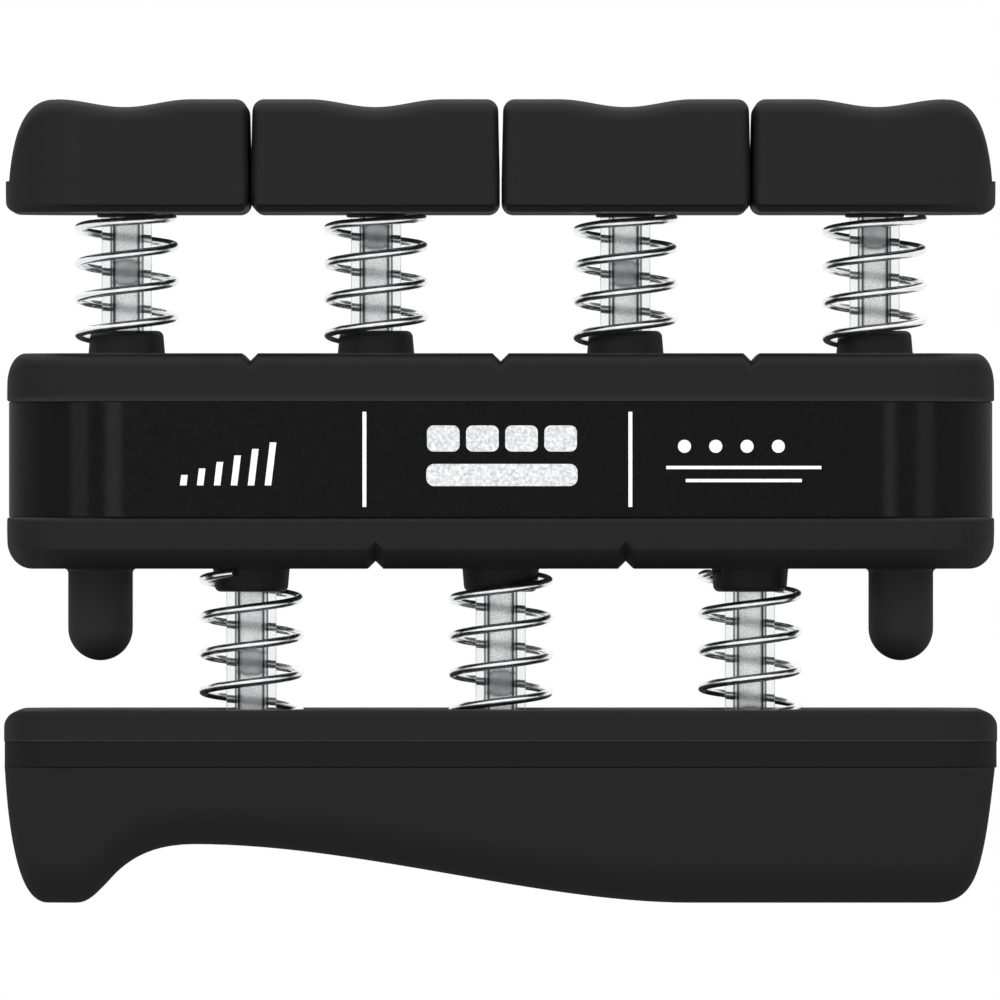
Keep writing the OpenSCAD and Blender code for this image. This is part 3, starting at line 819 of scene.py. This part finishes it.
def coil(name, node, body, start, pitch, lift=0.0, close=0.0):
    """An open-ended compression spring, wound right-handed.

    It starts at that angle in degrees. Over END_TURN of a turn its foot rises more steeply, by lift times the pitch,
    and its top is flatter, by close times the pitch.
    """
    bm = bmesh.new()
    low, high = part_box(node)
    x = middle_x(node)
    length = high.z - low.z
    turns = (length - WIRE) / pitch - lift + close
    steps = round(turns * 40)
    sides = 14
    lead = math.atan2(pitch, math.tau * SPRING_R)
    rings = []
    for i in range(steps + 1):
        t = turns * i / steps
        a = math.radians(start) + math.tau * t
        foot = min(1.0, t / END_TURN)
        top = max(0.0, 1 - (turns - t) / END_TURN)
        z = low.z + WIRE / 2 + pitch * (t + lift * foot - close * top)
        out = Vector((math.cos(a), math.sin(a), 0))
        up = Vector((math.sin(lead) * math.sin(a), -math.sin(lead) * math.cos(a), math.cos(lead)))
        ends = min(i, steps - i)
        radius = WIRE / 2 * (0.8 if ends == 0 else 1.0)
        rings.append([Vector((x, 0, z)) + out * SPRING_R
                      + (out * math.cos(math.tau * k / sides) + up * math.sin(math.tau * k / sides)) * radius
                      for k in range(sides)])
    skin_rings(bm, rings)
    piece = finish_mesh(name, bm, SPRING_STEEL, body, [node])
    TENT_LIT.objects.link(piece)
    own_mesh(piece)
    return piece


# ---------------------------------------------------------------- palm bar

PALM_CORNER_R = 5.5 * MM


def palm_plate():
    """Palm plate: a flat bar with rounded ends, softened top edges, a fine lower lip and three spring pockets."""
    bm = bmesh.new()
    half = PALM_HALF_W
    rings = []
    for x in both_ends(end_places(half, PALM_CORNER_R, 14) + end_places(half, 1.5 * MM, 12) + [0, 10 * MM, 20 * MM]):
        depth = PALM_HALF_D - drawn_in(x, half, PALM_CORNER_R, PALM_CORNER_R)
        top = PLATE_TOP - drawn_in(x, half, 1.5 * MM, 1.4 * MM)
        rings.append(section(x, depth, GRIP_TOP, top, 0.1 * MM, 0.22 * MM, lip=0.1 * MM))
    skin_rings(bm, rings)
    wells = bmesh.new()
    floor = PLATE_TOP - SPRING_POCKET_H
    chamfer = 0.12 * MM
    above = PLATE_TOP + 1 * MM
    for place in PALM_PLACES:
        turned(wells, middle_x("palm_stem_" + place), [
            (AXIS, floor), (SPRING_POCKET_R, floor), (SPRING_POCKET_R, PLATE_TOP - chamfer),
            (SPRING_POCKET_R + chamfer, PLATE_TOP), (SPRING_POCKET_R + chamfer, above), (AXIS, above)])
    bm = cut(bm, wells)
    return finish_mesh("plate", bm, PLATE_ABS, "palm", ["palm_plate"])


BAND_H = 2.0 * MM


def grip_underside():
    """The underside of the palm grip from left to right, in X and Z: a hump, a hollow and a long flat foot."""
    left = curve((-PALM_HALF_W, GRIP_TOP), (-38.0 * MM, 5.5 * MM), (-37.2 * MM, 0), (-34.8 * MM, 0), 26)
    hump = curve((-32.6 * MM, 0), (-30.2 * MM, 0), (-30.0 * MM, 4.5 * MM), (-23.5 * MM, 4.5 * MM), 20)
    slope = curve((-23.5 * MM, 4.5 * MM), (-11 * MM, 4.5 * MM), (3 * MM, 0), (14.5 * MM, 0), 30)
    right = curve((33.4 * MM, 0), (37 * MM, 0), (37.2 * MM, 3.2 * MM), (PALM_HALF_W, GRIP_TOP), 26)
    return left + hump + slope[1:] + [(24 * MM, 0)] + right


def palm_grip():
    """Soft grip: its underside follows the palm, and a fine parting line of the mould runs round below the plate."""
    parting = GRIP_TOP - BAND_H
    parting_r = 0.12 * MM
    bm = bmesh.new()
    rings = []
    for x, low in grip_underside():
        depth = PALM_HALF_D - drawn_in(x, PALM_HALF_W, PALM_CORNER_R, PALM_CORNER_R)
        rings.append(section(x, depth, min(low, parting - HIDDEN_R), parting, 3.2 * MM, parting_r))
    skin_rings(bm, rings)
    pad = finish_mesh("grip_pad", bm, GRIP_RUBBER, "palm", ["palm_grip"])
    bm = bmesh.new()
    rings = []
    inset = 0.05 * MM
    half = PALM_HALF_W - inset
    for x in both_ends(end_places(half, PALM_CORNER_R, 14) + [0]):
        depth = PALM_HALF_D - inset - drawn_in(x, half, PALM_CORNER_R, PALM_CORNER_R)
        rings.append(section(x, depth, parting, GRIP_TOP, parting_r, 0.06 * MM))
    skin_rings(bm, rings)
    band = finish_mesh("grip_band", bm, BAND_RUBBER, "palm")
    return pad, band


# ---------------------------------------------------------------- assembly

# The tent lamps light only what is in this collection: the bright coils, the clear stems and the print
TENT_LIT = bpy.data.collections.new("lit_by_the_tent")

# Share of a turn over which a coil's pitch changes at its ends, and the angles in degrees where the coils start
END_TURN = 0.35
FINGER_COIL_STARTS = [49, 51, 71, 83]
PALM_COIL_STARTS = [259, 87, 224]

# Heights of the painted shade spots where the coils darken the stems
COIL_SHADE_HEIGHTS = [48.5 * MM, 51.3 * MM, 48.4 * MM, 51.3 * MM]
PALM_COIL_SHADE_HEIGHTS = [18.4 * MM, 16.8 * MM, 14.0 * MM]

upper_housing()
lower_housing()
wrap_label()
label_print()
palm_plate()
palm_grip()
for i, finger in enumerate(FINGERS):
    button_cap(i)
    button_tray(i)
    stem("stem_" + finger, "finger_stem_" + finger, "finger_" + finger, True, COIL_SHADE_HEIGHTS[i])
    coil("coil_" + finger, "finger_spring_" + finger, "housing", FINGER_COIL_STARTS[i],
         FINGER_PITCH, lift=0.08, close=0.16)
for i, place in enumerate(PALM_PLACES):
    stem("palm_rod_" + place, "palm_stem_" + place, "palm", False, PALM_COIL_SHADE_HEIGHTS[i])
    coil("palm_coil_" + place, "palm_spring_" + place, "palm", PALM_COIL_STARTS[i],
         PALM_PITCH)

# The screws are hidden inside, so they keep the meshes that the frame has
for node in [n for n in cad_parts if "_screw_" in n]:
    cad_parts[node].data.materials.clear()
    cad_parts[node].data.materials.append(SCREW_STEEL)


# ---------------------------------------------------------------- light and camera

def softbox(name, azimuth, elevation, distance, width, height, brightness):
    """A rectangular light at that azimuth and elevation, aimed at the middle of the object.

    The brightness is that of its surface, where the white background has 1.
    """
    data = bpy.data.lights.new(name, "AREA")
    data.shape = "RECTANGLE"
    data.size = width
    data.size_y = height
    data.energy = brightness * math.pi * width * height
    a = math.radians(azimuth)
    e = math.radians(elevation)
    target = Vector((0, 0, 31 * MM))
    away = Vector((math.sin(a) * math.cos(e), -math.cos(a) * math.cos(e), math.sin(e)))
    lamp = bpy.data.objects.new(name, data)
    lamp.location = target + away * distance
    lamp.rotation_mode = "QUATERNION"
    lamp.rotation_quaternion = (-away).to_track_quat("-Z", "Y")
    lamp.visible_camera = False
    lamp.visible_transmission = False
    bpy.context.scene.collection.objects.link(lamp)
    return lamp


def studio_world():
    """White for the eye and through the clear stems. For reflections it is dim all round, and brighter overhead."""
    world = bpy.data.worlds.new("studio")
    bpy.context.scene.world = world
    world.use_nodes = True
    tree = world.node_tree
    tree.nodes.clear()
    place = add(tree, "ShaderNodeTexCoord").outputs["Generated"]
    split = add(tree, "ShaderNodeSeparateXYZ", Vector=place)
    glow = add(tree, "ShaderNodeMapRange", {"From Min": 0.15, "From Max": 0.8, "To Min": 0.18, "To Max": 0.58},
               Value=split.outputs["Z"])
    path = add(tree, "ShaderNodeLightPath")
    seen = add(tree, "ShaderNodeMath", {"operation": "MAXIMUM"}, _0=path.outputs["Is Camera Ray"],
               _1=path.outputs["Is Transmission Ray"])
    strength = add(tree, "ShaderNodeMath", {"operation": "MAXIMUM"}, _0=glow.outputs["Result"], _1=seen.outputs[0])
    shade = add(tree, "ShaderNodeBackground", {"Color": (1, 1, 1, 1)}, Strength=strength.outputs[0])
    add(tree, "ShaderNodeOutputWorld", Surface=shade.outputs["Background"])


def front_camera():
    """The camera looks straight at the front through a long lens, from 1.6 metres."""
    distance = 1.6
    frame_width = 76.7 * MM
    data = bpy.data.cameras.new("front")
    data.lens = data.sensor_width * distance / frame_width
    data.shift_y = -0.0005
    camera = bpy.data.objects.new("front", data)
    camera.location = (-0.05 * MM, -HOUSING_HALF_D - distance, 30.97 * MM)
    camera.rotation_euler = (math.pi / 2, 0, 0)
    bpy.context.scene.collection.objects.link(camera)
    bpy.context.scene.camera = camera


studio_world()
softbox("key_left", -14, 0, 1.3, 0.34, 1.0, 0.36)
softbox("key_right", 16, 0, 1.3, 0.24, 1.0, 0.32)
softbox("side_left", -48, 0, 1.3, 0.4, 1.0, 0.22)
softbox("side_right", 51, 0, 1.3, 0.4, 1.0, 0.2)
softbox("top", 180, 70, 1.0, 0.8, 0.5, 0.4)
for tent_side, tent_azimuth in (("front", 0), ("left", -90), ("right", 90), ("back", 180)):
    wall = softbox("tent_" + tent_side, tent_azimuth, 0, 1.5, 3.0, 9.0, 0.95)
    wall.light_linking.receiver_collection = TENT_LIT
front_camera()
bpy.context.scene.view_settings.view_transform = "Standard"
